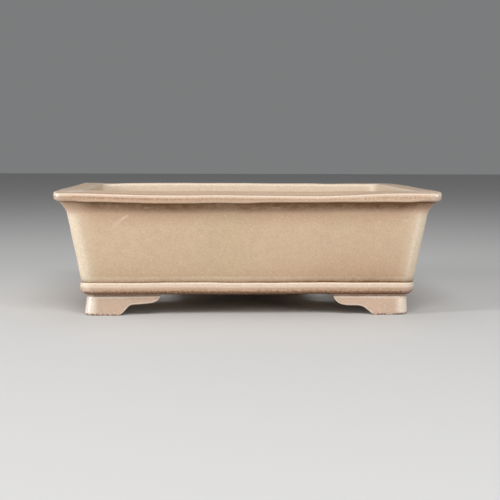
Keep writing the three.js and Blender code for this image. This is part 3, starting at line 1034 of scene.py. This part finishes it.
def inward_normals(bottom):
    """The outline's inward normals, one a point."""
    ahead = np.array(bottom[1:] + bottom[-1:])
    behind = np.array(bottom[:1] + bottom[:-1])
    way = (ahead - behind) / np.linalg.norm(ahead - behind, axis=1)[:, None]
    return np.column_stack((-way[:, 1], way[:, 0]))


# A column of a plate: whether it is in the corner, in the blend or on the straight run, its turn
# or its share of the blend, its place on the lower outline and the height there, the depths of
# its lower and its other roundings, where it is at the foot of the face, the outline's normal,
# and how near to the corner it counts as.
Column = namedtuple("Column", "kind turn along low under over face_along normal near")


def foot_columns(wing):
    """The columns of a plate, from the mitre at the corner to the wing's tip."""
    start = (0.0, 0.0)
    upright = (0.0, 1.0)
    turns = np.radians(np.linspace(45, 90, 9))
    places = [("corner", angle, start, upright, 1.0) for angle in turns]
    places += [("blend", share, start, upright, 1.0 - share) for share in (0.33, 0.66)]
    bottom = foot_bottom(wing)
    places += [("run", 0.0, *pair, 0.0) for pair in zip(bottom, inward_normals(bottom))]
    columns = []
    last = -1.0
    for kind, turn, (along, low), normal, near in places:
        room = ARRIS_SHARE * (FOOT_LEDGE - low)
        under = min(FOOT_ARRIS + FOOT_CORNER_WEAR * near, room)
        over = min(FOOT_ARRIS, room)
        face_along = along + under * normal[0]
        if kind == "run":
            face_along = max(face_along, last + COLUMN_GAP)
            last = face_along
        columns.append(Column(kind, turn, along, low, under, over, face_along, normal, near))
    return columns


def section_point(column, part, first, second):
    """Where a row is on a column: how far along, how high and how deep."""
    along, low, under, over = column.along, column.low, column.under, column.over
    shift = column.face_along - along
    rise = column.normal[1]
    if part == "top":
        return along, second, first
    if part == "ledge":
        return along, FOOT_LEDGE - over * second, first * over / FOOT_ARRIS
    if part == "face":
        high = FOOT_LEDGE - over
        return along + shift * second, high + (low + under * rise - high) * second, first
    if part == "arris":
        return along + shift * second, low + under * second * rise, under * first
    if part == "under":
        return along, low, under + (FOOT_PLATE - under - over) * first
    if part == "back_arris":
        behind = along + shift * second * over / under
        return behind, low + over * second * rise, FOOT_PLATE - over * first
    behind = along + shift * (1 - second) * over / under
    back_low = low + over * rise
    return behind, back_low + (FLOOR_UNDER - back_low) * second, FOOT_PLATE


def plan_point(column, along, depth):
    """The same point seen from above, with the plate bent round the corner."""
    radius = max(FOOT_CORNER - depth, LEAST_RADIUS)
    centre = depth + radius
    if column.kind == "corner":
        turn = column.turn
        return centre - radius * math.cos(turn), centre - radius * math.sin(turn)
    if column.kind == "blend":
        return centre + (FOOT_RUN - centre) * column.turn, depth
    return along, depth


def foot_plate(wing, foot_lean):
    """One plate along +X from a corner at the origin, its face towards -Y."""
    columns = foot_columns(wing)
    rows = foot_rows()
    points = []
    edges = []
    for column in columns:
        for part, first, second, edge in rows:
            along, z, depth = section_point(column, part, first, second)
            x, y = plan_point(column, along, depth)
            lean = foot_lean * z
            points.append((x + lean * (column.kind == "corner"), y + lean, z))
            edges.append(max(edge, FOOT_EDGE_WEAR_AND_HIGHLIGHT * column.near * (part != "top")))
    return np.array(points), grid_faces(len(columns), len(rows)), np.array(edges)


def feet():
    for turn, corner in enumerate(CORNERS):
        inset, lean = FOOT_SET[corner]
        x, y = HALF_X + FOOT_OUT - inset, HALF_Y + FOOT_OUT
        px, py = (x, y) if turn % 2 == 0 else (y, x)
        for plate in ("along", "across"):
            long_side = (plate == "along") == (turn % 2 == 0)
            wing = SQUARE_WING if corner.endswith("left") == long_side else OGEE_WING
            points, faces, edge = foot_plate(wing, lean)
            if plate == "across":
                points = points[:, [1, 0, 2]]
            else:
                faces = [tuple(reversed(f)) for f in faces]
            points = turned(points - np.array((px, py, 0)), turn)
            node = f"foot_{corner}_{'long' if long_side else 'short'}_side"
            make_piece(f"{node}_clay", points, faces, edge, node, "foot_clay")


feet()

# ---- Floor, light and camera: metres, watts, degrees ----

FLOOR_REACH = 6
FLOOR_COLOUR = (0.55, 0.545, 0.54, 1)
AIM = Vector((0, 0, 0.06))  # the lamps point at the middle of the pot


def stage_floor():
    mesh = bpy.data.meshes.new("stage_floor")
    signs = ((-1, -1), (1, -1), (1, 1), (-1, 1))
    corners = [(x * FLOOR_REACH, y * FLOOR_REACH, 0) for x, y in signs]
    mesh.from_pydata(corners, [], [(0, 1, 2, 3)])
    s = Shader("stage_floor")
    s.finish(s.add("ShaderNodeBsdfPrincipled", {"Base Color": FLOOR_COLOUR, "Roughness": 0.7}))
    mesh.materials.append(s.material)
    floor = bpy.data.objects.new("stage_floor", mesh)
    bpy.context.scene.collection.objects.link(floor)


def softbox(name, place, size, power):
    """A rectangular lamp that shines at the pot."""
    light = bpy.data.lights.new(name, "AREA")
    light.shape = "RECTANGLE"
    light.size, light.size_y = size
    light.energy = power
    lamp = bpy.data.objects.new(name, light)
    lamp.location = place
    lamp.rotation_euler = (AIM - Vector(place)).to_track_quat("-Z", "Y").to_euler()
    bpy.context.scene.collection.objects.link(lamp)


def lights():
    softbox("key", (0.1, -1.4, 1.45), (1.2, 0.7), 24)
    softbox("top", (0, 0.3, 1.7), (1.2, 1.2), 5)
    softbox("left", (-1.45, -0.68, 0.5), (0.32, 0.7), 21)
    softbox("right", (1.2, -1.1, 0.5), (0.5, 0.5), 8)
    world = bpy.data.worlds.new("soft_room")
    world.use_nodes = True
    background = world.node_tree.nodes["Background"]
    background.inputs["Color"].default_value = (0.8, 0.81, 0.82, 1)
    background.inputs["Strength"].default_value = 0.25
    bpy.context.scene.world = world
    bpy.context.scene.view_settings.view_transform = "Standard"


# The photo's camera, as fitted to the outline of the pot.
CAMERA_PLACE = (-0.04151, -1.07124, 0.15548)
CAMERA_YAW = 2.57  # to the right of +Y
CAMERA_PITCH = 5.52  # downwards
CAMERA_ROLL = 0.21  # right side up
CAMERA_LENS = 73.56  # mm, on a sensor of SENSOR_WIDTH
SENSOR_WIDTH = 36


def camera():
    yaw, pitch, roll = (math.radians(v) for v in (CAMERA_YAW, CAMERA_PITCH, CAMERA_ROLL))
    data = bpy.data.cameras.new("camera")
    data.lens = CAMERA_LENS
    data.sensor_width = SENSOR_WIDTH
    eye = bpy.data.objects.new("camera", data)
    turn = Matrix.Rotation(-yaw, 4, "Z") @ Matrix.Rotation(math.pi / 2 - pitch, 4, "X")
    eye.matrix_world = Matrix.Translation(CAMERA_PLACE) @ turn @ Matrix.Rotation(roll, 4, "Z")
    bpy.context.scene.collection.objects.link(eye)
    bpy.context.scene.camera = eye


stage_floor()
lights()
camera()
